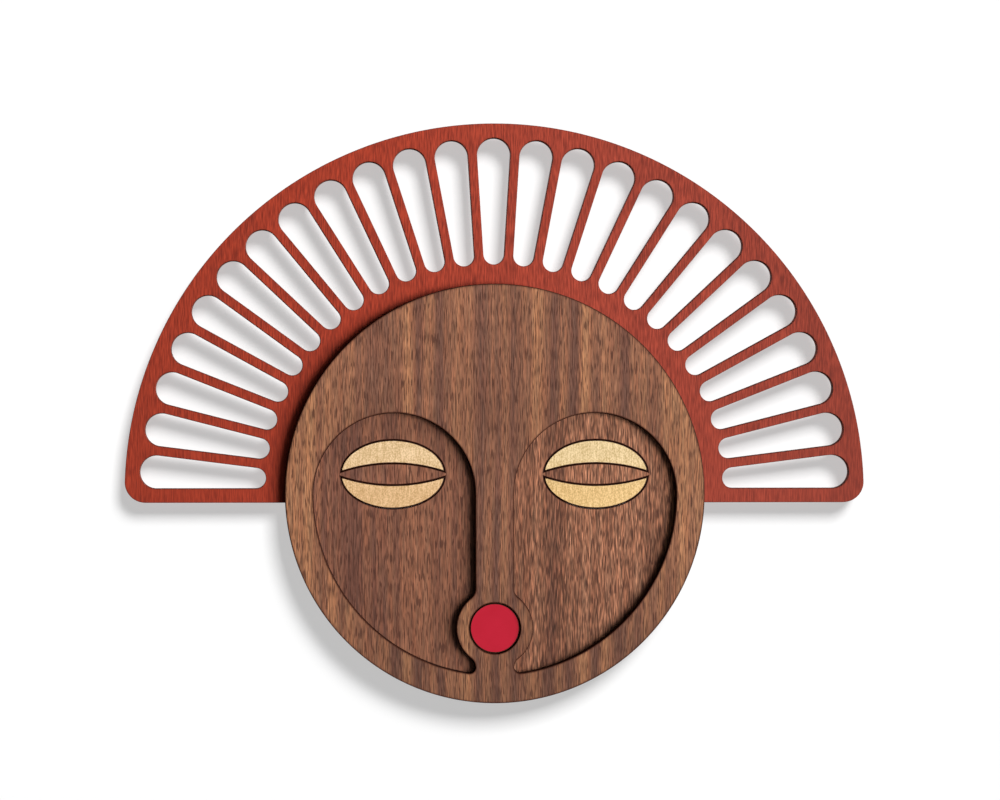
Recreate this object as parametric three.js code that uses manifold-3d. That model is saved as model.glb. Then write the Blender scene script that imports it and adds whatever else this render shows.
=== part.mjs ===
// Layered wall mask of veneered boards.
// A fan-shaped crest board carries a round face: a thin panel, and a thicker disc glued on it.
// The front disc is cut out round the eyes and over the mouth, and the lids are inlaid in the panel.
// The front faces -Y, +X is on the right of the front view and +Z is up.
// The origin is the centre of the round face, on the back of the crest board.

import * as THREE from "three";
import { mergeVertices } from "three/addons/utils/BufferGeometryUtils.js";
import Module from "manifold-3d";

const wasm = await Module();
wasm.setup();

// Boards, in millimetres
const boardThickness = 5;
const panelThickness = 1.6;
const glueLine = 0.2;
const facetError = 0.06;

// Crest
const crestRadius = 230;
const crestDrop = 6.1;
const crestCornerRadius = 13;
const slotCount = 25;
const barWidth = 6.1;
const slotInnerReach = 142.3;
const slotOuterReach = 220.6;

// Keyhole that hangs the mask on a screw head, cut in the crest board behind the face
const keyholeHeight = 96;
const keyholeRise = 12;
const keyholeHeadRadius = 5;
const keyholeNeckRadius = 2.5;
const keyholeLip = 2.2;
const keyholeSegments = 24;

// Round face and the two sunk cheek fields
const faceRadius = 130;
const fieldRadius = 112.2;
const archDrop = 0.4;
const noseHalfWidth = 12.15;
const bossRadius = 24;
const noseFillet = 7;
const fieldTipRadius = 3.6;

// Mouth
const mouthDrop = 83.4;
const mouthHoleRadius = 15.95;
const mouthInlayRadius = 15.25;
const mouthInlaySink = 1.3;

// Eyes, drawn to the middle of the dark joint round each lid
const eyeSpread = 63;
const eyeHeight = 11.8;
const eyeHalfLength = 32.35;
const eyeHalfHeight = 21.3;
const lidMiddleHeight = 6.75;
const lidCornerHeight = 1.5;
const lidJoint = 0.5;
const eyeSegments = 96;

// Heights of the boards above the wall
const crestBack = 0;
const faceBack = crestBack + boardThickness + glueLine;
const panelFront = faceBack + panelThickness;
const faceFront = panelFront + glueLine;

const redVeneer = new THREE.MeshStandardMaterial({ color: 0xa54232, roughness: 0.62, metalness: 0 });
const walnutVeneer = new THREE.MeshStandardMaterial({ color: 0x9d7053, roughness: 0.6, metalness: 0 });
const goldFinish = new THREE.MeshStandardMaterial({ color: 0xd9b070, roughness: 0.42, metalness: 0.6 });
const redLacquer = new THREE.MeshStandardMaterial({ color: 0xc52638, roughness: 0.55, metalness: 0 });

// Points of a round stretch from one angle to another, close enough to stay within the facet error
function arc(centreX, centreZ, radius, fromAngle, toAngle) {
  const step = 2 * Math.acos(1 - facetError / radius);
  const count = Math.ceil(Math.abs(toAngle - fromAngle) / step);
  const points = [];
  for (let i = 0; i <= count; i++) {
    const angle = fromAngle + ((toAngle - fromAngle) * i) / count;
    points.push(new THREE.Vector2(centreX + radius * Math.cos(angle), centreZ + radius * Math.sin(angle)));
  }
  return points;
}

function circle(centreX, centreZ, radius) {
  return arc(centreX, centreZ, radius, 0, 2 * Math.PI).slice(1);
}

function mirrored(points) {
  return points.map((point) => new THREE.Vector2(-point.x, point.y)).reverse();
}

// A flat slab of an outline with holes, standing off the wall from one height to another
function slab(outline, holes, back, front) {
  const shape = new THREE.Shape(outline);
  shape.holes = holes.map((hole) => new THREE.Path(hole));
  const geometry = new THREE.ExtrudeGeometry(shape, { depth: front - back, bevelEnabled: false });
  const standing = new THREE.Matrix4().set(
    1, 0, 0, 0,
    0, 0, -1, -back,
    0, 1, 0, 0,
    0, 0, 0, 1,
  );
  return geometry.applyMatrix4(standing);
}

function toSolid(geometry) {
  const bare = geometry.clone();
  bare.deleteAttribute("normal");
  bare.deleteAttribute("uv");
  const merged = mergeVertices(bare, 1e-5);
  const mesh = new wasm.Mesh({
    numProp: 3,
    vertProperties: new Float32Array(merged.attributes.position.array),
    triVerts: new Uint32Array(merged.index.array),
  });
  return new wasm.Manifold(mesh);
}

function toGeometry(solid) {
  const mesh = solid.getMesh();
  const geometry = new THREE.BufferGeometry();
  geometry.setAttribute("position", new THREE.BufferAttribute(mesh.vertProperties, 3));
  geometry.setIndex(new THREE.BufferAttribute(mesh.triVerts, 1));
  geometry.computeVertexNormals();
  return geometry;
}

// Half disc with a straight lower edge just below the face centre and two rounded lower corners
function crestOutline() {
  const cornerZ = crestCornerRadius - crestDrop;
  const cornerX = Math.sqrt((crestRadius - crestCornerRadius) ** 2 - cornerZ ** 2);
  const meet = Math.atan2(cornerZ, cornerX);
  return [
    ...arc(cornerX, cornerZ, crestCornerRadius, -Math.PI / 2, meet),
    ...arc(0, 0, crestRadius, meet, Math.PI - meet).slice(1),
    ...arc(-cornerX, cornerZ, crestCornerRadius, Math.PI - meet, (3 * Math.PI) / 2).slice(1),
  ];
}

// One of the tapered slots, with bars of even width left between them
function slotOutline(index) {
  const halfAngle = Math.PI / slotCount / 2;
  const middle = (2 * index + 1) * halfAngle;
  const taper = Math.sin(halfAngle);
  const outerCentre = (slotOuterReach + barWidth / 2) / (1 + taper);
  const innerCentre = (slotInnerReach - barWidth / 2) / (1 - taper);
  const cap = (centre, fromAngle, toAngle) => arc(
    centre * Math.cos(middle),
    centre * Math.sin(middle),
    centre * taper - barWidth / 2,
    middle + fromAngle,
    middle + toAngle,
  );
  const side = Math.PI / 2 + halfAngle;
  return [...cap(outerCentre, -side, side), ...cap(innerCentre, side, 2 * Math.PI - side)];
}

// Screw-head hole with a narrow neck above it at the back, and room for the head behind the neck
function keyholeCutters() {
  const overrun = 1;
  const head = new THREE.CylinderGeometry(
    keyholeHeadRadius, keyholeHeadRadius, boardThickness + 2 * overrun, keyholeSegments,
  );
  head.translate(0, -boardThickness / 2, keyholeHeight);
  const run = (radius, back, front) => slab(
    [
      ...arc(0, keyholeHeight, radius, Math.PI, 2 * Math.PI),
      ...arc(0, keyholeHeight + keyholeRise, radius, 0, Math.PI),
    ],
    [], back, front,
  );
  const neck = run(keyholeNeckRadius, -overrun, keyholeLip + overrun);
  const headRoom = run(keyholeHeadRadius, keyholeLip, boardThickness + overrun);
  return [head, neck, headRoom];
}

function crestBoard() {
  const slots = Array.from({ length: slotCount }, (_, index) => slotOutline(index));
  let board = toSolid(slab(crestOutline(), slots, crestBack, crestBack + boardThickness));
  for (const cutter of keyholeCutters()) {
    board = board.subtract(toSolid(cutter));
  }
  return toGeometry(board);
}

// Right cheek field: a round arch above, the rim's arc outside, the nose and the mouth boss inside
function fieldOutline() {
  const archRadius = (fieldRadius - noseHalfWidth) / 2;
  const archCentre = noseHalfWidth + archRadius;
  const filletX = noseHalfWidth + noseFillet;
  const filletRise = Math.sqrt((bossRadius + noseFillet) ** 2 - filletX ** 2);
  const filletTurn = Math.atan2(filletRise, filletX);
  const tipX = noseHalfWidth + fieldTipRadius;
  const tipDrop = Math.sqrt((fieldRadius - fieldTipRadius) ** 2 - tipX ** 2);
  const tipTurn = Math.atan2(-tipDrop, tipX);
  const archTurn = -Math.asin(archDrop / fieldRadius);
  return [
    ...arc(archCentre, -archDrop, archRadius, 0, Math.PI),
    ...arc(filletX, filletRise - mouthDrop, noseFillet, Math.PI, Math.PI + filletTurn),
    ...arc(0, -mouthDrop, bossRadius, filletTurn, -filletTurn).slice(1),
    ...arc(filletX, -mouthDrop - filletRise, noseFillet, Math.PI - filletTurn, Math.PI).slice(1, -1),
    ...arc(tipX, -tipDrop, fieldTipRadius, -Math.PI, tipTurn),
    ...arc(0, 0, fieldRadius, tipTurn, archTurn).slice(1, -1),
  ];
}

function faceFrontBoard() {
  const rightField = fieldOutline();
  const holes = [rightField, mirrored(rightField), circle(0, -mouthDrop, mouthHoleRadius)];
  return slab(circle(0, 0, faceRadius), holes, faceFront, faceFront + boardThickness);
}

// Crescent between the eye's oval and the lid line, grown or shrunk by an allowance all round
function lidSolid(side, lid, allowance, back, front) {
  const sagitta = lidMiddleHeight - lidCornerHeight;
  const cornerX = eyeHalfLength * Math.sqrt(1 - (lidCornerHeight / eyeHalfHeight) ** 2);
  const lidRadius = (cornerX ** 2 + sagitta ** 2) / (2 * sagitta);
  const centreX = side * eyeSpread;
  const oval = new THREE.EllipseCurve(
    centreX, eyeHeight, eyeHalfLength + allowance, eyeHalfHeight + allowance,
  ).getPoints(eyeSegments).slice(1);
  const lidCentre = eyeHeight + lid * (lidMiddleHeight - lidRadius);
  const openingDisc = circle(centreX, lidCentre, lidRadius - allowance);
  const overrun = 1;
  return toSolid(slab(oval, [], back, front))
    .subtract(toSolid(slab(openingDisc, [], back - overrun, front + overrun)));
}

function faceBackBoard() {
  const overrun = 1;
  let board = toSolid(slab(circle(0, 0, faceRadius), [], faceBack, panelFront));
  for (const side of [-1, 1]) {
    for (const lid of [-1, 1]) {
      const cutter = lidSolid(side, lid, lidJoint / 2, faceBack - overrun, panelFront + overrun);
      board = board.subtract(cutter);
    }
  }
  return toGeometry(board);
}

const mask = new THREE.Group();

function addPiece(name, geometry, material) {
  const mesh = new THREE.Mesh(geometry, material);
  mesh.name = name;
  mask.add(mesh);
}

addPiece("crest_plate", crestBoard(), redVeneer);
addPiece("face_back_plate", faceBackBoard(), walnutVeneer);
addPiece("face_front_plate", faceFrontBoard(), walnutVeneer.clone());

for (const [sideName, side] of [["left", -1], ["right", 1]]) {
  for (const [lidName, lid] of [["upper", 1], ["lower", -1]]) {
    const inlay = lidSolid(side, lid, -lidJoint / 2, faceBack, panelFront);
    addPiece(`${sideName}_eye_${lidName}_inlay`, toGeometry(inlay), goldFinish.clone());
  }
}

const mouthFront = faceFront + boardThickness - mouthInlaySink;
addPiece("mouth_inlay", slab(circle(0, -mouthDrop, mouthInlayRadius), [], faceFront, mouthFront), redLacquer);

export default mask;
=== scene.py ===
import math

import bmesh
import bpy
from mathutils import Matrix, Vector


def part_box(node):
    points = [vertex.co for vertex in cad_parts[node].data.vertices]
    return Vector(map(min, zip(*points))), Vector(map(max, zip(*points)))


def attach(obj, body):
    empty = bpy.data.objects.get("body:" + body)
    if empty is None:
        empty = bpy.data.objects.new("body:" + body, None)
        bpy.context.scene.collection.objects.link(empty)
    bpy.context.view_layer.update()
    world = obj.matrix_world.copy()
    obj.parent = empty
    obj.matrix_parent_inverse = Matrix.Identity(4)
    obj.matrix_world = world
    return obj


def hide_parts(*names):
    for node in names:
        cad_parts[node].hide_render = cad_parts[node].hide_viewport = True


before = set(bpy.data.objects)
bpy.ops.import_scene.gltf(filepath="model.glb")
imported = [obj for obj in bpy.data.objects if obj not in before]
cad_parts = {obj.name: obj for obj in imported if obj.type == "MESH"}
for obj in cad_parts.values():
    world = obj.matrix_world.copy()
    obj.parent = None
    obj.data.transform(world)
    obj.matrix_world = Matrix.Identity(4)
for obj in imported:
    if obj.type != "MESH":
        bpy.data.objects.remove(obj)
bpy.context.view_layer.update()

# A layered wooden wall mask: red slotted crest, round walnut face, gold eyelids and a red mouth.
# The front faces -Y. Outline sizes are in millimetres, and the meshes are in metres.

MM = 0.001
CHORD_ERROR = 0.008
SAME_POINT = 1e-6

# Crest outline and slots. The radius keeps the round arc within the box of the faceted solid.
CREST_RADIUS = 229.94
CREST_DROP = 6.1
CREST_CORNER_RADIUS = 13
SLOT_COUNT = 25
BAR_WIDTH = 6.1
SLOT_INNER_REACH = 142.3
SLOT_OUTER_REACH = 220.6

# Keyhole in the crest board, hidden behind the face
KEYHOLE_HEIGHT = 96
KEYHOLE_RISE = 12
KEYHOLE_HEAD_RADIUS = 5
KEYHOLE_NECK_RADIUS = 2.5
KEYHOLE_LIP = 2.2

# Face discs, cheek fields, nose and mouth boss
FACE_RADIUS = 130
FIELD_RADIUS = 112.2
ARCH_DROP = 0.4
NOSE_HALF_WIDTH = 12.15
BOSS_RADIUS = 24
NOSE_FILLET = 7
FIELD_TIP_RADIUS = 3.6
MOUTH_DROP = 83.4
MOUTH_HOLE_RADIUS = 15.95
MOUTH_INLAY_RADIUS = 15.25

# Eyelids, drawn to the middle of the joint round each inlay
EYE_SPREAD = 63
EYE_HEIGHT = 11.8
EYE_HALF_LENGTH = 32.35
EYE_HALF_HEIGHT = 21.3
LID_MIDDLE_HEIGHT = 6.75
LID_CORNER_HEIGHT = 1.5
LID_JOINT = 0.5
LID_PLAY = 0.02

# Edges: how far the sharp arris is eased, how far the cut leans, and how it has scorched each rim.
# Each pair is a distance in from the rim and the strength of the scorch there.
EASING = 0.25
CUT_LEAN = 0.25
CUT_RIM = ((1.7, 0.0), (1.2, 0.12), (0.6, 0.38), (EASING, 0.85))
JOINT_RIM = ((0.6, 0.0), (EASING, 1.0))
MOUTH_RIM = ((0.8, 0.0), (EASING, 0.6))
FACE_RIM = ((2.2, 0.0), (1.2, 0.16), (0.5, 0.45), (EASING, 0.9))
CREST_RIM = ((0.8, 0.0), (EASING, 0.3))
SOOT_REACH = 1.0


# Outlines

def arc(centre_x, centre_z, radius, start, end):
    step = 2 * math.acos(1 - CHORD_ERROR / radius)
    count = max(3, math.ceil(abs(end - start) / step))
    angles = [start + (end - start) * i / count for i in range(count + 1)]
    return [(centre_x + radius * math.cos(a), centre_z + radius * math.sin(a)) for a in angles]


def closed(*stretches):
    """Joins stretches of points to one closed loop without doubled points."""
    points = [point for stretch in stretches for point in stretch]
    return [p for i, p in enumerate(points) if math.dist(p, points[i - 1]) > SAME_POINT]


def circle(centre_x, centre_z, radius):
    return closed(arc(centre_x, centre_z, radius, 0, 2 * math.pi))


def mirrored(loop):
    return [(-x, z) for x, z in reversed(loop)]


def inset(loop, distance):
    """Moves a loop to its left, which is inwards on a loop that runs anticlockwise."""
    moved = []
    for i, (x, z) in enumerate(loop):
        before, after = loop[i - 1], loop[(i + 1) % len(loop)]
        first = Vector((x - before[0], z - before[1])).normalized()
        second = Vector((after[0] - x, after[1] - z)).normalized()
        reach = distance / (1 + first.dot(second))
        moved.append((x - (first.y + second.y) * reach, z + (first.x + second.x) * reach))
    return moved


def crest_outline():
    """A half disc with a straight foot just below the face's centre and two rounded corners."""
    corner_z = CREST_CORNER_RADIUS - CREST_DROP
    corner_x = math.sqrt((CREST_RADIUS - CREST_CORNER_RADIUS) ** 2 - corner_z ** 2)
    meet = math.atan2(corner_z, corner_x)
    return closed(
        arc(corner_x, corner_z, CREST_CORNER_RADIUS, -math.pi / 2, meet),
        arc(0, 0, CREST_RADIUS, meet, math.pi - meet),
        arc(-corner_x, corner_z, CREST_CORNER_RADIUS, math.pi - meet, 1.5 * math.pi),
    )


def slot_outline(index):
    """One tapered slot with round ends, which leaves bars of even width beside it."""
    half_angle = math.pi / SLOT_COUNT / 2
    middle = (2 * index + 1) * half_angle
    taper = math.sin(half_angle)
    side = math.pi / 2 + half_angle

    def cap(centre, start, end):
        centre_x, centre_z = centre * math.cos(middle), centre * math.sin(middle)
        radius = centre * taper - BAR_WIDTH / 2
        return arc(centre_x, centre_z, radius, middle + start, middle + end)

    return closed(
        cap((SLOT_OUTER_REACH + BAR_WIDTH / 2) / (1 + taper), -side, side),
        cap((SLOT_INNER_REACH - BAR_WIDTH / 2) / (1 - taper), side, 2 * math.pi - side),
    )


def field_outline():
    """The right cheek field: arch above, rim outside, nose and mouth boss inside."""
    arch_radius = (FIELD_RADIUS - NOSE_HALF_WIDTH) / 2
    fillet_x = NOSE_HALF_WIDTH + NOSE_FILLET
    fillet_rise = math.sqrt((BOSS_RADIUS + NOSE_FILLET) ** 2 - fillet_x ** 2)
    fillet_turn = math.atan2(fillet_rise, fillet_x)
    tip_x = NOSE_HALF_WIDTH + FIELD_TIP_RADIUS
    tip_drop = math.sqrt((FIELD_RADIUS - FIELD_TIP_RADIUS) ** 2 - tip_x ** 2)
    tip_turn = math.atan2(-tip_drop, tip_x)
    return closed(
        arc(NOSE_HALF_WIDTH + arch_radius, -ARCH_DROP, arch_radius, 0, math.pi),
        arc(fillet_x, fillet_rise - MOUTH_DROP, NOSE_FILLET, math.pi, math.pi + fillet_turn),
        arc(0, -MOUTH_DROP, BOSS_RADIUS, fillet_turn, -fillet_turn),
        arc(fillet_x, -MOUTH_DROP - fillet_rise, NOSE_FILLET, math.pi - fillet_turn, math.pi)[:-1],
        arc(tip_x, -tip_drop, FIELD_TIP_RADIUS, -math.pi, tip_turn),
        arc(0, 0, FIELD_RADIUS, tip_turn, -math.asin(ARCH_DROP / FIELD_RADIUS))[:-1],
    )


def lid_outline(side, lid):
    """The crescent between the eye's oval and the lid line.

    side is -1 for the left eye and 1 for the right, lid 1 for the upper lid and -1 for the lower.
    """
    turn = math.asin(LID_CORNER_HEIGHT / EYE_HALF_HEIGHT)
    corner_x = EYE_HALF_LENGTH * math.cos(turn)
    sagitta = LID_MIDDLE_HEIGHT - LID_CORNER_HEIGHT
    lid_radius = (corner_x ** 2 + sagitta ** 2) / (2 * sagitta)
    lid_turn = math.asin(corner_x / lid_radius)
    oval = [
        (x * EYE_HALF_LENGTH / EYE_HALF_HEIGHT, z)
        for x, z in arc(0, 0, EYE_HALF_HEIGHT, turn, math.pi - turn)
    ]
    up = math.pi / 2
    line = arc(0, LID_MIDDLE_HEIGHT - lid_radius, lid_radius, up + lid_turn, up - lid_turn)
    crescent = closed(oval, line)
    placed = [(side * EYE_SPREAD + x, EYE_HEIGHT + lid * z) for x, z in crescent]
    return placed if lid > 0 else placed[::-1]


def keyhole_outline(neck_radius):
    """The opening seen from behind, or with a wide neck the room cut for the screw head."""
    spread = math.asin(neck_radius / KEYHOLE_HEAD_RADIUS)
    up = math.pi / 2
    return closed(
        arc(0, KEYHOLE_HEIGHT + KEYHOLE_RISE, neck_radius, 0, math.pi),
        arc(0, KEYHOLE_HEIGHT, KEYHOLE_HEAD_RADIUS, up + spread, up + 2 * math.pi - spread),
    )


# Meshes

# Places of a board's materials: its front face, the walls of its cuts, and its back
FACE, SIDE, BACK = 0, 1, 2


class Board:
    """One flat board, built ring by ring from its outlines."""

    def __init__(self, name, node):
        low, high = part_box(node)
        self.front = low.y / MM
        self.back = high.y / MM
        self.name = name
        self.node = node
        self.mesh = bmesh.new()
        self.scorch = self.mesh.verts.layers.float.new("scorch")
        self.front_rims = []
        self.back_rims = []

    def ring(self, loop, y, scorch=0.0):
        verts = []
        for x, z in loop:
            vert = self.mesh.verts.new((x * MM, y * MM, z * MM))
            vert[self.scorch] = scorch
            verts.append(vert)
        return verts

    def bands(self, rings, material, smooth):
        for first, second in zip(rings, rings[1:]):
            for i in range(len(first)):
                face = self.mesh.faces.new((first[i - 1], first[i], second[i], second[i - 1]))
                face.material_index = material
                face.smooth = smooth

    def rim(self, loop, surface, inwards, rim):
        """Makes one face's rim and its eased arris. inwards is 1 at the front, -1 at the back."""
        strength = rim[-1][1]
        halfway = EASING * (1 - math.cos(math.pi / 4))
        flat = [self.ring(inset(loop, distance), surface, scorch) for distance, scorch in rim]
        arris = [
            flat[-1],
            self.ring(inset(loop, halfway), surface + inwards * halfway, strength),
            self.ring(loop, surface + inwards * EASING, strength),
        ]
        material = FACE if inwards > 0 else BACK
        self.bands(flat, material, False)
        self.bands(arris, material, True)
        return flat[0], arris[-1]

    def cut(self, loop, rim, lean=CUT_LEAN):
        """One cut through the board: both rims, and the wall, which leans in towards the front."""
        front_rim, front_wall = self.rim(inset(loop, lean), self.front, 1, rim)
        back_rim, back_wall = self.rim(loop, self.back, -1, rim)
        self.bands([front_wall, back_wall], SIDE, True)
        self.front_rims.append(front_rim)
        self.back_rims.append(back_rim)

    def fill(self, rims, material):
        """Fills the flat area between an outer rim and the rims of its holes."""
        sides = [(rim[i - 1], rim[i]) for rim in rims for i in range(len(rim))]
        edges = [self.mesh.edges.get(side) for side in sides]
        made = bmesh.ops.triangle_fill(self.mesh, use_beauty=True, use_dissolve=False, edges=edges)
        for item in made["geom"]:
            if isinstance(item, bmesh.types.BMFace):
                item.material_index = material

    def finish(self, materials):
        self.fill(self.front_rims, FACE)
        self.fill(self.back_rims, BACK)
        bmesh.ops.recalc_face_normals(self.mesh, faces=self.mesh.faces)
        data = bpy.data.meshes.new(self.name)
        self.mesh.to_mesh(data)
        self.mesh.free()
        for material in materials:
            data.materials.append(material)
        piece = bpy.data.objects.new(self.name, data)
        bpy.context.scene.collection.objects.link(piece)
        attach(piece, "root")
        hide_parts(self.node)
        return piece


def crest(materials):
    """The crest board. Its keyhole has a narrow neck at the back and a wider room before it."""
    board = Board("crest", "crest_plate")
    board.cut(crest_outline(), CREST_RIM)
    for i in range(SLOT_COUNT):
        board.cut(slot_outline(i)[::-1], CREST_RIM)
    lip = board.back - KEYHOLE_LIP
    neck = keyhole_outline(KEYHOLE_NECK_RADIUS)[::-1]
    room = keyhole_outline(KEYHOLE_HEAD_RADIUS)[::-1]
    room_rings = [board.ring(room, y, 1.0) for y in (board.front, lip)]
    neck_rings = [board.ring(neck, y, 1.0) for y in (lip, board.back)]
    board.bands(room_rings, SIDE, True)
    board.bands(neck_rings, SIDE, True)
    board.fill([room_rings[1], neck_rings[0]], SIDE)
    front_rim = board.ring(inset(room, SOOT_REACH), board.front)
    back_rim = board.ring(inset(neck, SOOT_REACH), board.back)
    board.bands([front_rim, room_rings[0]], FACE, False)
    board.bands([back_rim, neck_rings[1]], BACK, False)
    board.front_rims.append(front_rim)
    board.back_rims.append(back_rim)
    return board.finish(materials)


def lid_cuts():
    """The four lid outlines, by the names of the inlays that fill them."""
    sides = {"left": -1, "right": 1}
    rows = {"upper": 1, "lower": -1}
    return {(side, row): lid_outline(sides[side], rows[row]) for side in sides for row in rows}


def face_panel(materials):
    """The disc behind, seen in the two cheek fields, with holes for the lids."""
    board = Board("face_panel", "face_back_plate")
    board.cut(circle(0, 0, FACE_RADIUS), FACE_RIM)
    for outline in lid_cuts().values():
        board.cut(inset(outline, -LID_JOINT / 2)[::-1], JOINT_RIM, 0)
    return board.finish(materials)


def face_front(materials):
    """The disc in front, cut out to leave the brow, the nose and the ring round the mouth."""
    board = Board("face_front", "face_front_plate")
    field = field_outline()
    board.cut(circle(0, 0, FACE_RADIUS), FACE_RIM)
    board.cut(field[::-1], CUT_RIM)
    board.cut(mirrored(field)[::-1], CUT_RIM)
    board.cut(circle(0, -MOUTH_DROP, MOUTH_HOLE_RADIUS)[::-1], MOUTH_RIM, 0)
    return board.finish(materials)


def lids(materials):
    """The gold inlays. The cut leans a little, so they fit tightly at the back of the board."""
    pieces = []
    for (side, lid), outline in lid_cuts().items():
        board = Board(f"{side}_{lid}_lid", f"{side}_eye_{lid}_inlay")
        board.cut(inset(outline, LID_PLAY - LID_JOINT / 2), JOINT_RIM, LID_JOINT - LID_PLAY)
        pieces.append(board.finish(materials))
    return pieces


def mouth(materials):
    board = Board("mouth", "mouth_inlay")
    board.cut(circle(0, -MOUTH_DROP, MOUTH_INLAY_RADIUS), JOINT_RIM, 0)
    return board.finish(materials)


# Materials

def display(red, green, blue):
    """A colour given as 0 to 255 display values, for a shader socket."""
    def channel(value):
        value /= 255
        return value / 12.92 if value <= 0.04045 else ((value + 0.055) / 1.055) ** 2.4

    return (channel(red), channel(green), channel(blue), 1)


# Where nearly all the values of a noise lie
NOISE_LOW = 0.3
NOISE_HIGH = 0.7

# Scorching: its two colours, the strength at which it has wholly browned the wood, and the strength
# from which it blackens it
SCORCH_BROWN = display(72, 32, 12)
SCORCH_BLACK = display(52, 17, 0)
BROWN_BY = 0.75
BLACK_FROM = 0.45


class Shader:
    """A small helper that adds and links the nodes of one material. gloss is its specular level."""

    def __init__(self, name, gloss=0.2):
        self.material = bpy.data.materials.new(name)
        self.material.use_nodes = True
        self.tree = self.material.node_tree
        self.surface = self.tree.nodes["Principled BSDF"]
        self.surface.inputs["Specular IOR Level"].default_value = gloss
        self.place = self.node("ShaderNodeTexCoord").outputs["Object"]

    def node(self, kind, **settings):
        made = self.tree.nodes.new(kind)
        for key, value in settings.items():
            setattr(made, key, value)
        return made

    def feed(self, socket, value):
        if isinstance(value, bpy.types.NodeSocket):
            self.tree.links.new(value, socket)
        else:
            socket.default_value = value

    def maths(self, operation, *values):
        made = self.node("ShaderNodeMath", operation=operation)
        for socket, value in zip(made.inputs, values):
            self.feed(socket, value)
        return made.outputs[0]

    def along(self, axis, place=None):
        """One coordinate of a place, in metres."""
        parts = self.node("ShaderNodeSeparateXYZ")
        self.feed(parts.inputs[0], self.place if place is None else place)
        return parts.outputs[axis]

    def noise(self, place, per_metre, shift=(0, 0, 0), detail=2.0, roughness=0.5):
        """Noise of so many features to the metre along each axis."""
        spread = self.node("ShaderNodeMapping")
        self.feed(spread.inputs["Vector"], place)
        spread.inputs["Scale"].default_value = per_metre
        spread.inputs["Location"].default_value = shift
        made = self.node("ShaderNodeTexNoise")
        self.feed(made.inputs["Vector"], spread.outputs[0])
        made.inputs["Scale"].default_value = 1.0
        made.inputs["Detail"].default_value = detail
        made.inputs["Roughness"].default_value = roughness
        return made.outputs["Fac"]

    def span(self, value, low, high, to_low=0.0, to_high=1.0):
        """Carries a value smoothly from one range to another, and holds it at the ends."""
        made = self.node("ShaderNodeMapRange", interpolation_type="SMOOTHSTEP")
        for socket, given in zip(made.inputs, (value, low, high, to_low, to_high)):
            self.feed(socket, given)
        return made.outputs[0]

    def swing(self, noise, low=0.0, high=1.0):
        """Spreads a noise over the range from low to high."""
        return self.span(noise, NOISE_LOW, NOISE_HIGH, low, high)

    def ramp(self, value, *stops, interpolation="LINEAR"):
        """A colour that runs through the stops, which are pairs of a position and a colour."""
        made = self.node("ShaderNodeValToRGB")
        made.color_ramp.interpolation = interpolation
        elements = made.color_ramp.elements
        while len(elements) < len(stops):
            elements.new(0.5)
        for element, (position, colour) in zip(elements, stops):
            element.position = position
            element.color = colour
        self.feed(made.inputs[0], value)
        return made.outputs["Color"]

    def profile(self, place, axis, stops):
        """A value that changes along one axis, from stops of a place in millimetres and a value."""
        whole = 2 * CREST_RADIUS
        part = self.maths("MULTIPLY_ADD", self.along(axis, place), 1 / (whole * MM), 0.5)
        greys = [(0.5 + at / whole, (value, value, value, 1)) for at, value in stops]
        return self.ramp(part, *greys, interpolation="EASE")

    def mix(self, factor, first, second):
        """The first colour at a factor of 0, and the second at 1."""
        made = self.node("ShaderNodeMix", data_type="RGBA")
        self.feed(made.inputs[0], factor)
        self.feed(made.inputs[6], first)
        self.feed(made.inputs[7], second)
        return made.outputs[2]

    def tint(self, colour, value, low, high):
        """Multiplies a colour by another one, which goes from low to high with the value."""
        made = self.node("ShaderNodeVectorMath", operation="MULTIPLY")
        self.feed(made.inputs[0], colour)
        self.feed(made.inputs[1], self.ramp(value, (0.0, (*low, 1)), (1.0, (*high, 1))))
        return made.outputs[0]

    def shade(self, colour, *factors):
        """Makes a colour lighter or darker by factors that are 1 where nothing changes."""
        for factor in factors:
            made = self.node("ShaderNodeVectorMath", operation="SCALE")
            self.feed(made.inputs[0], colour)
            self.feed(made.inputs["Scale"], factor)
            colour = made.outputs[0]
        return colour

    def sideways(self, place, amount, reach):
        """Moves a place along X by the amount times the reach, in metres."""
        made = self.node("ShaderNodeVectorMath", operation="MULTIPLY_ADD")
        self.feed(made.inputs[0], amount)
        self.feed(made.inputs[2], place)
        made.inputs[1].default_value = (reach, 0, 0)
        return made.outputs[0]

    def scorched(self, colour):
        """Browns and blackens the colour where the mesh says the cut has scorched it."""
        scorch = self.node("ShaderNodeAttribute", attribute_name="scorch").outputs["Fac"]
        uneven = self.noise(self.place, per_metre=(400, 400, 400), shift=(3, 1, 7))
        burnt = self.maths("MULTIPLY", scorch, self.swing(uneven, 0.85, 1.15))
        browned = self.mix(self.span(burnt, 0.0, BROWN_BY), colour, SCORCH_BROWN)
        return self.mix(self.span(burnt, BLACK_FROM, 1.0), browned, SCORCH_BLACK)

    def pored(self, colour, pores, strength, pore_colour):
        """Darkens a wood's colour in its pores."""
        return self.mix(self.maths("MULTIPLY", pores, strength), colour, display(*pore_colour))

    def bump(self, height, distance, strength):
        """Makes the surface uneven by a height times a distance in metres."""
        made = self.node("ShaderNodeBump")
        made.inputs["Distance"].default_value = distance
        made.inputs["Strength"].default_value = strength
        self.feed(made.inputs["Height"], height)
        self.feed(self.surface.inputs["Normal"], made.outputs[0])

    def done(self, colour, roughness):
        self.feed(self.surface.inputs["Base Color"], colour)
        self.feed(self.surface.inputs["Roughness"], roughness)
        return self.material


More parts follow.
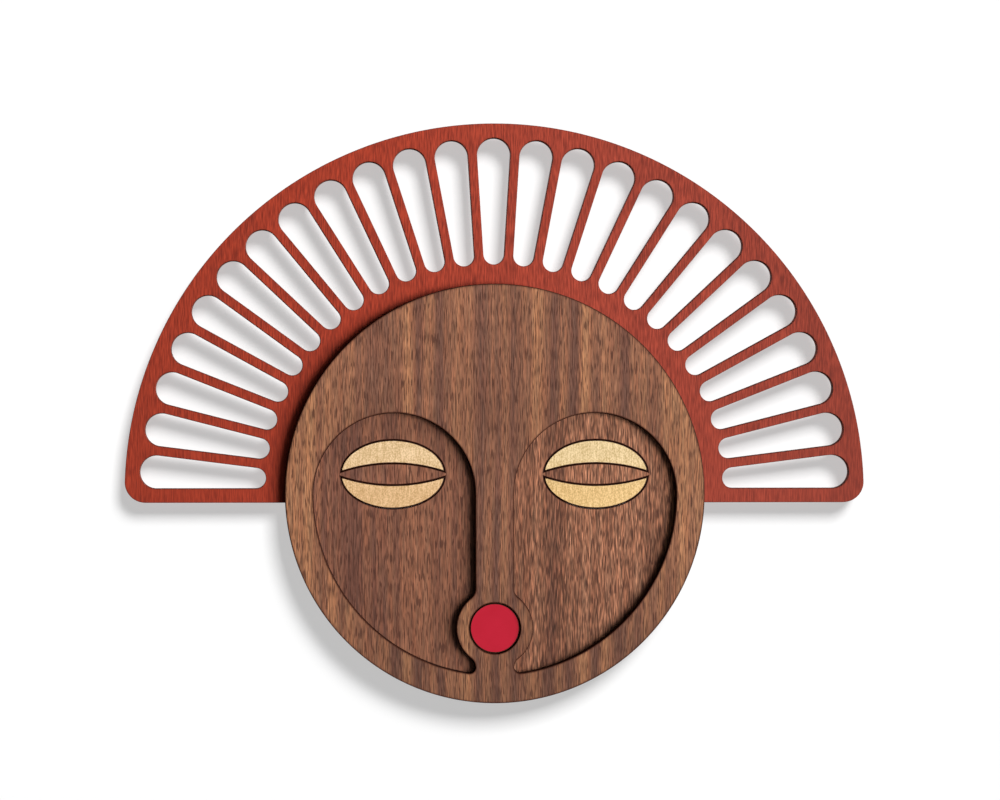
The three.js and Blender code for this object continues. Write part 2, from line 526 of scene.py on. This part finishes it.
# Veneer figure: pairs of a place across the board, in millimetres, and the wood's tone there, dark
# at 0 and pale at 1. Heights are pairs of a place up the board and the brightness there. On the
# front disc and the panel they are partly painted falloff of light, darker towards the bottom and
# lighter at the brow and the eyes, and partly the veneer's own tone; on the back they only darken
# towards the bottom.
FRONT_FIGURE = (
    (-125, 0.88), (-97, 0.6), (-74, 0.34), (-64, 0.38), (-59, 0.08), (-51.5, 0.8), (-44, 0.1),
    (-36.5, 0.6), (-30, 0.05), (-21, 0.72), (-13, 0.7), (-7, 0.08), (-0.5, 0.45), (4.3, 0.0),
    (9.7, 0.62), (17, 0.05), (23, 0.55), (31, 0.72), (39, 0.0), (45.5, 0.6), (51, 0.0),
    (60.5, 0.9), (67, 0.15), (72, 0.65), (82, 0.22), (97, 0.5), (125, 0.8),
)
FRONT_PAINTED_FALLOFF_AND_TONE = (
    (-120, 0.74), (-100, 0.77), (-60, 0.88), (-30, 0.96), (-10, 0.95), (10, 0.95), (30, 0.93),
    (50, 0.95), (70, 1.06), (90, 1.1), (125, 1.1),
)
PANEL_FIGURE = (
    (-105, 0.3), (-84, 0.0), (-70, 0.28), (-59, 0.28), (-48, 0.53), (-33, 0.32), (0, 0.35),
    (20, 0.65), (35, 0.65), (42, 0.25), (55, 0.95), (65, 0.8), (84, 0.95), (105, 0.7),
)
PANEL_PAINTED_FALLOFF_AND_TONE = (
    (-110, 0.89), (-80, 0.88), (-50, 0.93), (-30, 0.97), (-15, 1.02), (0, 1.05), (12, 1.12),
    (27, 1.0), (40, 0.95),
)
CREST_FIGURE = (
    (-200, 0.56), (-150, 0.69), (-60, 0.88), (0, 1.0), (70, 0.83), (150, 0.62), (195, 0.46),
    (225, 0.14),
)
BACK_FIGURE = ((-90, 0.4), (-50, 0.7), (-20, 0.2), (15, 0.8), (50, 0.3), (90, 0.6))
BACK_HEIGHTS = ((-120, 0.9), (60, 1.0))


# Wood: how far the fibres fray the figure's stripes, how deep the grain is, how much the dashes
# and the crest's figure lean, and the display colours of the pores
FRAYING = 3 * MM
GRAIN_DEPTH = 0.05 * MM
DASH_LEAN = 0.08
CREST_FIGURE_LEAN = 0.2
WALNUT_PORE = (74, 41, 31)
RED_PORE = (104, 34, 26)

# Gold of the lower and of the upper lids, each from left to right, and lacquer from dark to pale.
# The gold is lighter above than below and, below, lighter on the right: partly painted falloff of
# light from the upper right, partly the leaf's own tone.
GOLD_BELOW = (display(223, 181, 131), display(231, 192, 131))
GOLD_ABOVE = (display(230, 195, 148), display(229, 200, 150))
LACQUER = (display(188, 17, 44), display(193, 20, 48))


def walnut(name, seed, tones, figure, shading_by_height, fineness, contrast, dashes=None):
    """Walnut veneer: stripes from dark to golden, broken up by upright fibres and short pores.

    tones are display colours of the dark, plain and golden wood. fineness is the number of fibres
    to the metre, and contrast their strength. dashes is the strength of the short slanted marks
    that some boards have, on the left and on the right of the board. shading_by_height lightens or
    darkens the board up its height, and on the front disc and the panel that is partly painted
    falloff of light.
    """
    shader = Shader(name)
    wander = shader.noise(shader.place, per_metre=(14, 0, 5), shift=(seed, 0, 0), detail=1)
    place = shader.sideways(shader.place, wander, reach=4 * MM)
    fibre = shader.noise(place, per_metre=(fineness, 0, 110), shift=(seed, 0, seed), detail=1)
    streak = shader.noise(place, per_metre=(1300, 0, 30), shift=(0, 0, seed), detail=1)
    frayed = shader.sideways(place, fibre, FRAYING)
    drift = shader.noise(frayed, per_metre=(160, 0, 4), shift=(seed, 2, 0), detail=1)
    cloud = shader.noise(shader.place, per_metre=(30, 0, 14), shift=(seed, seed, 0))
    tinge = shader.noise(place, per_metre=(500, 0, 25), shift=(seed, 5, 0), detail=1)
    specks = shader.noise(place, per_metre=(fineness, 0, 110), shift=(seed, 0, 1), detail=1)
    pores = shader.span(specks, low=0.52, high=0.62)

    tone = shader.profile(frayed, "X", figure)
    tone = shader.maths("ADD", tone, shader.swing(drift, -0.25, 0.25))
    dark, plain, golden = (display(*colour) for colour in tones)
    colour = shader.ramp(tone, (0.0, dark), (0.5, plain), (1.0, golden))
    colour = shader.shade(
        colour,
        shader.swing(streak, 1 - contrast / 2, 1 + contrast / 2),
        shader.swing(fibre, 1 - contrast, 1 + contrast),
        shader.swing(cloud, 0.93, 1.07),
        # Brightness up the board: on the front disc and the panel, partly painted falloff of light
        shader.profile(shader.place, "Z", shading_by_height),
    )
    warmer, cooler = (1.05, 0.985, 0.955), (0.95, 1.015, 1.045)
    colour = shader.tint(colour, shader.swing(tinge), warmer, cooler)
    if dashes:
        across, up = shader.along("X"), shader.along("Z")
        strength = shader.span(across, -20 * MM, 30 * MM, *dashes)
        for lean, shift in ((DASH_LEAN, 2), (-DASH_LEAN, 6)):
            leaning = shader.sideways(place, up, lean)
            slanted = shader.noise(leaning, (fineness, 0, 100), (seed, 0, shift), detail=1)
            marks = shader.span(slanted, 0.35, 0.72, to_low=0.6, to_high=-1.4)
            colour = shader.shade(colour, shader.maths("MULTIPLY_ADD", marks, strength, 1.0))
    colour = shader.pored(colour, pores, 0.75, WALNUT_PORE)
    shader.bump(shader.maths("SUBTRACT", fibre, pores), GRAIN_DEPTH, strength=0.5)
    return shader.done(shader.scorched(colour), shader.swing(fibre, 0.6, 0.72))


def red_veneer(name, seed, left, right, figure):
    """Red-stained veneer: the same upright fibres, with the stain darker in the pores.

    left and right are the display colours of the board's two sides. The front's paler, pinker right
    side is painted sheen of the light from the right.
    """
    shader = Shader(name)
    wander = shader.noise(shader.place, per_metre=(12, 0, 5), shift=(seed, 0, 0), detail=1)
    place = shader.sideways(shader.place, wander, reach=6 * MM)
    fibre = shader.noise(place, per_metre=(1500, 0, 120), shift=(seed, 0, seed), detail=1)
    streak = shader.noise(place, per_metre=(1000, 0, 22), shift=(0, 0, seed), detail=1)
    frayed = shader.sideways(place, fibre, FRAYING)
    bands = shader.noise(frayed, per_metre=(90, 0, 4), shift=(seed, 2, 0))
    specks = shader.noise(place, per_metre=(1400, 0, 110), shift=(seed, 0, 1), detail=1)
    pores = shader.span(specks, low=0.54, high=0.68)

    across, up = shader.along("X"), shader.along("Z")
    # From the left colour to the right one: on the front board the paler, pinker right is painted
    # sheen
    colour = shader.mix(shader.span(across, -100 * MM, 100 * MM), display(*left), display(*right))
    grain = shader.maths("ADD", shader.swing(bands, -0.06, 0.06), shader.swing(fibre, -0.28, 0.28))
    grain = shader.maths("ADD", grain, shader.swing(streak, -0.08, 0.08))
    liveliness = shader.span(up, 0.0, 100 * MM, to_low=0.85, to_high=1.15)
    leaning = shader.sideways(shader.place, up, CREST_FIGURE_LEAN)
    tone = shader.profile(leaning, "X", figure)
    darkest, spread = 0.72, 0.34
    colour = shader.shade(
        colour,
        shader.maths("MULTIPLY_ADD", grain, liveliness, 1.0),
        shader.maths("MULTIPLY_ADD", tone, spread, darkest),
    )
    redder, paler = (1.02, 0.94, 0.92), (0.99, 1.07, 1.1)
    colour = shader.tint(colour, shader.swing(fibre), redder, paler)
    colour = shader.pored(colour, pores, 0.35, RED_PORE)
    shader.bump(shader.maths("SUBTRACT", fibre, pores), GRAIN_DEPTH, strength=0.4)
    return shader.done(shader.scorched(colour), shader.swing(fibre, 0.62, 0.72))


def charred_edge(name, dark, pale):
    """Edges browned and blackened by the cut, with fine marks across the board's thickness."""
    shader = Shader(name, gloss=0.1)
    marks = shader.noise(shader.place, (900, 60, 900), (5, 5, 5), detail=3, roughness=0.6)
    patches = shader.noise(shader.place, per_metre=(60, 30, 60), shift=(1, 4, 2))
    colour = shader.mix(shader.swing(marks), display(*dark), display(*pale))
    colour = shader.shade(colour, shader.swing(patches, 0.6, 1.3))
    shader.bump(marks, 0.1 * MM, strength=0.6)
    return shader.done(colour, shader.swing(marks, 0.7, 0.85))


def gold_finish(name):
    """Pale gold leaf, warmer and darker below than above, partly as painted falloff of light,
    finely speckled, with the scorched line round it.
    """
    shader = Shader(name, gloss=0.3)
    shader.surface.inputs["Metallic"].default_value = 0.15
    speck = shader.noise(shader.place, per_metre=(1150, 1150, 950), shift=(2, 2, 2), detail=1)
    brushing = shader.noise(shader.place, per_metre=(900, 900, 90), shift=(5, 2, 8), detail=1)
    patch = shader.noise(shader.place, per_metre=(90, 90, 90), shift=(7, 1, 3))

    rightward = shader.span(shader.along("X"), -30 * MM, 30 * MM)
    upward = shader.span(shader.along("Z"), 0.0, 24 * MM)
    # Lighter above, and on the right below: partly painted falloff of light from the upper right
    below = shader.mix(rightward, *GOLD_BELOW)
    above = shader.mix(rightward, *GOLD_ABOVE)
    leaf = shader.maths("ADD", shader.swing(speck, 0.15, 0.85), shader.swing(brushing, -0.2, 0.2))
    leaf = shader.maths("ADD", leaf, shader.swing(patch, -0.12, 0.12))
    browner, paler = (0.81, 0.77, 0.645), (1.25, 1.31, 1.43)
    colour = shader.tint(shader.mix(upward, below, above), leaf, browner, paler)
    shader.bump(speck, 0.04 * MM, strength=0.4)
    return shader.done(shader.scorched(colour), shader.swing(speck, 0.42, 0.58))


def red_lacquer(name):
    """Matt red lacquer with a faint orange peel."""
    shader = Shader(name)
    peel = shader.noise(shader.place, per_metre=(420, 420, 420), shift=(4, 4, 4))
    cloud = shader.noise(shader.place, per_metre=(60, 60, 60), shift=(1, 8, 2))
    colour = shader.mix(shader.swing(cloud), *LACQUER)
    shader.bump(peel, 0.05 * MM, strength=0.3)
    return shader.done(shader.scorched(colour), shader.swing(peel, 0.5, 0.6))


# Studio, in metres

ROOM_HALF_WIDTH = 3
ROOM_TOP = 3
WALL_GAP = 0.009
FLOOR_DROP = 1.2
FLOOR_REACH = 6
AIM_HEIGHT = 0.05

# Key light: a far softbox on the right, and a weak one nearer the middle for softer shadow edges
KEY_ANGLE = math.radians(49)
KEY_HALF_WIDTH = math.radians(21)
KEY_HALF_HEIGHT = math.radians(16)
KEY_DISTANCE = 30
KEY_RADIANCE = 1.08
INNER_ANGLE = math.radians(17)
INNER_HALF_WIDTH = math.radians(12)
INNER_SHARE = 0.05

# The light of the wall, which throws the mask's shadow on it, and the two lights of the mask's back
WALL_LIGHT_PLACE = (9.3, -20, 15.4)
WALL_LIGHT_WIDTH = 9.5
WALL_LIGHT_HEIGHT = 9.75
BACK_LIGHT_REACH = 1.7
BACK_LIGHT_RISE = 0.9
BACK_LIGHT_SIZE = 1.2
BACK_LIGHT_IRRADIANCE = 1.8

# What the camera sees of the wall in the mask's shadow, what the wall's light adds to that, and
# what the camera sees of the floor and the world. The world's fill is what it gives the mask.
STAGE_ALBEDO = 0.3
WALL_SHADED = 0.508
WALL_LIT = 0.7
FLOOR_SEEN = 0.95
WORLD_SEEN = 0.9
WORLD_FILL = 0.025


def seen_or_not(nodes, links, seen, unseen):
    """One strength where the camera sees the light itself, and another for what it lights."""
    ray = nodes.new("ShaderNodeLightPath")
    strength = nodes.new("ShaderNodeMapRange")
    strength.inputs["To Min"].default_value = unseen
    strength.inputs["To Max"].default_value = seen
    links.new(ray.outputs["Is Camera Ray"], strength.inputs["Value"])
    return strength.outputs[0]


def plain_surface(name, corners, glow):
    """A plain pale stage surface, see-through from its back, so that it never hides the mask."""
    data = bpy.data.meshes.new(name)
    data.from_pydata(corners, [], [(0, 1, 2, 3)])
    sheet = bpy.data.objects.new(name, data)
    bpy.context.scene.collection.objects.link(sheet)
    material = bpy.data.materials.new(f"{name}_paint")
    material.use_nodes = True
    nodes, links = material.node_tree.nodes, material.node_tree.links
    paint = nodes["Principled BSDF"]
    paint.inputs["Base Color"].default_value = (STAGE_ALBEDO, STAGE_ALBEDO, STAGE_ALBEDO, 1)
    paint.inputs["Roughness"].default_value = 1.0
    paint.inputs["Specular IOR Level"].default_value = 0.0
    paint.inputs["Emission Color"].default_value = (1, 1, 1, 1)
    links.new(seen_or_not(nodes, links, glow, 0.0), paint.inputs["Emission Strength"])
    clear = nodes.new("ShaderNodeBsdfTransparent")
    side = nodes.new("ShaderNodeNewGeometry")
    choose = nodes.new("ShaderNodeMixShader")
    links.new(side.outputs["Backfacing"], choose.inputs[0])
    links.new(paint.outputs[0], choose.inputs[1])
    links.new(clear.outputs[0], choose.inputs[2])
    links.new(choose.outputs[0], nodes["Material Output"].inputs["Surface"])
    data.materials.append(material)
    sheet.visible_shadow = False
    return sheet


def softbox(name, place, width, height, irradiance, receivers):
    """An area light aimed at the mask, which lights only the things in its own collection."""
    way = Vector(place) - Vector((0, 0, AIM_HEIGHT))
    data = bpy.data.lights.new(name, "AREA")
    data.shape = "RECTANGLE"
    data.size = width
    data.size_y = height
    data.energy = irradiance * math.pi * way.length_squared
    light = bpy.data.objects.new(name, data)
    bpy.context.scene.collection.objects.link(light)
    light.location = place
    light.rotation_euler = way.to_track_quat("Z", "Y").to_euler()
    light.light_linking.receiver_collection = receivers


def far_box(name, angle, half_width, radiance, receivers):
    """A softbox far off on the right, whose light gives a white board on the wall this radiance."""
    place = (KEY_DISTANCE * math.sin(angle), -KEY_DISTANCE * math.cos(angle), AIM_HEIGHT)
    width = 2 * KEY_DISTANCE * math.tan(half_width)
    height = 2 * KEY_DISTANCE * math.tan(KEY_HALF_HEIGHT)
    softbox(name, place, width, height, radiance * math.pi / math.cos(angle), receivers)


def group(name, objects):
    made = bpy.data.collections.new(name)
    for item in objects:
        made.objects.link(item)
    return made


def stage_surfaces():
    """Makes the floor below the mask and the wall behind it, and hands back the wall."""
    left, right, bottom, top = -ROOM_HALF_WIDTH, ROOM_HALF_WIDTH, -FLOOR_DROP, ROOM_TOP
    near, far = -FLOOR_REACH, WALL_GAP
    wall_foot = [(left, far, bottom), (right, far, bottom)]
    wall_head = [(right, far, top), (left, far, top)]
    floor_front = [(left, near, bottom), (right, near, bottom)]
    wall = plain_surface("wall", wall_foot + wall_head, WALL_SHADED)
    plain_surface("floor", floor_front + wall_foot[::-1], FLOOR_SEEN)
    return wall


def studio(pieces):
    wall = stage_surfaces()
    mask, room = group("lit_mask", pieces), group("lit_room", [wall])
    far_box("key", KEY_ANGLE, KEY_HALF_WIDTH, KEY_RADIANCE, mask)
    far_box("key_inner", INNER_ANGLE, INNER_HALF_WIDTH, KEY_RADIANCE * INNER_SHARE, mask)
    softbox(
        "wall_light", WALL_LIGHT_PLACE, WALL_LIGHT_WIDTH, WALL_LIGHT_HEIGHT,
        WALL_LIT * math.pi / STAGE_ALBEDO, room,
    )
    for name, side in (("back_left", -1), ("back_right", 1)):
        place = (side * BACK_LIGHT_REACH, BACK_LIGHT_REACH, BACK_LIGHT_RISE)
        softbox(name, place, BACK_LIGHT_SIZE, BACK_LIGHT_SIZE, BACK_LIGHT_IRRADIANCE, mask)
    world = bpy.data.worlds.new("studio")
    bpy.context.scene.world = world
    world.use_nodes = True
    nodes, links = world.node_tree.nodes, world.node_tree.links
    backdrop = nodes["Background"].inputs
    links.new(seen_or_not(nodes, links, WORLD_SEEN, WORLD_FILL), backdrop["Strength"])
    backdrop["Color"].default_value = (1, 1, 1, 1)
    bpy.context.scene.view_settings.view_transform = "Standard"


# Camera: straight on, a little to the left of the mask, as in the photograph
PHOTO_WIDTH = 1000
PHOTO_HEIGHT = 800
PIXELS_PER_METRE = 1609.5
CREST_CENTRE_PIXEL = (494.1, 493.2)
CAMERA_DISTANCE = 1.5
CAMERA_SIDE = -0.09
CAMERA_ROLL = math.radians(0.06)
SENSOR_WIDTH = 36


def camera():
    data = bpy.data.cameras.new("camera")
    data.sensor_width = SENSOR_WIDTH
    data.lens = CAMERA_DISTANCE * PIXELS_PER_METRE * SENSOR_WIDTH / PHOTO_WIDTH
    shown_x = (PHOTO_WIDTH / 2 - CREST_CENTRE_PIXEL[0]) / PIXELS_PER_METRE
    height = (CREST_CENTRE_PIXEL[1] - PHOTO_HEIGHT / 2) / PIXELS_PER_METRE
    data.shift_x = (shown_x - CAMERA_SIDE) * PIXELS_PER_METRE / PHOTO_WIDTH
    made = bpy.data.objects.new("camera", data)
    crest_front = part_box("crest_plate")[0].y
    made.location = (CAMERA_SIDE, crest_front - CAMERA_DISTANCE, height)
    made.rotation_euler = (math.pi / 2, CAMERA_ROLL, 0)
    bpy.context.scene.collection.objects.link(made)
    bpy.context.scene.camera = made


# The mask. Colours are display values, and each veneer has its own seed.

camera()

charred = charred_edge("charred_edge", dark=(30, 10, 3), pale=(70, 31, 13))
red_charred = charred_edge("red_charred_edge", dark=(76, 28, 20), pale=(122, 52, 38))
# The crest front's right colour is paler and pinker: painted sheen of the light from the right
red_front = red_veneer("red_veneer", 3.7, (162, 55, 33), (162, 63, 45), CREST_FIGURE)
red_back = red_veneer("red_veneer_back", 8.1, (142, 56, 41), (142, 56, 41), BACK_FIGURE)
walnut_front = walnut(
    "walnut_front", 5.3, ((116, 77, 62), (149, 99, 73), (180, 124, 87)),
    FRONT_FIGURE, FRONT_PAINTED_FALLOFF_AND_TONE, fineness=1450, contrast=0.3,
)
walnut_panel = walnut(
    "walnut_panel", 9.6, ((110, 70, 56), (142, 92, 68), (172, 116, 87)),
    PANEL_FIGURE, PANEL_PAINTED_FALLOFF_AND_TONE, fineness=1050, contrast=0.28, dashes=(0.0, 0.33),
)
walnut_back = walnut(
    "walnut_back", 2.2, ((100, 68, 58), (124, 84, 66), (136, 94, 68)),
    BACK_FIGURE, BACK_HEIGHTS, fineness=1450, contrast=0.25,
)
gold = gold_finish("gold_finish")
lacquer = red_lacquer("red_lacquer")

pieces = [
    crest([red_front, red_charred, red_back]),
    face_panel([walnut_panel, charred, walnut_back]),
    face_front([walnut_front, charred, walnut_back]),
    *lids([gold, charred, walnut_back]),
    mouth([lacquer, charred, walnut_back]),
]
studio(pieces)
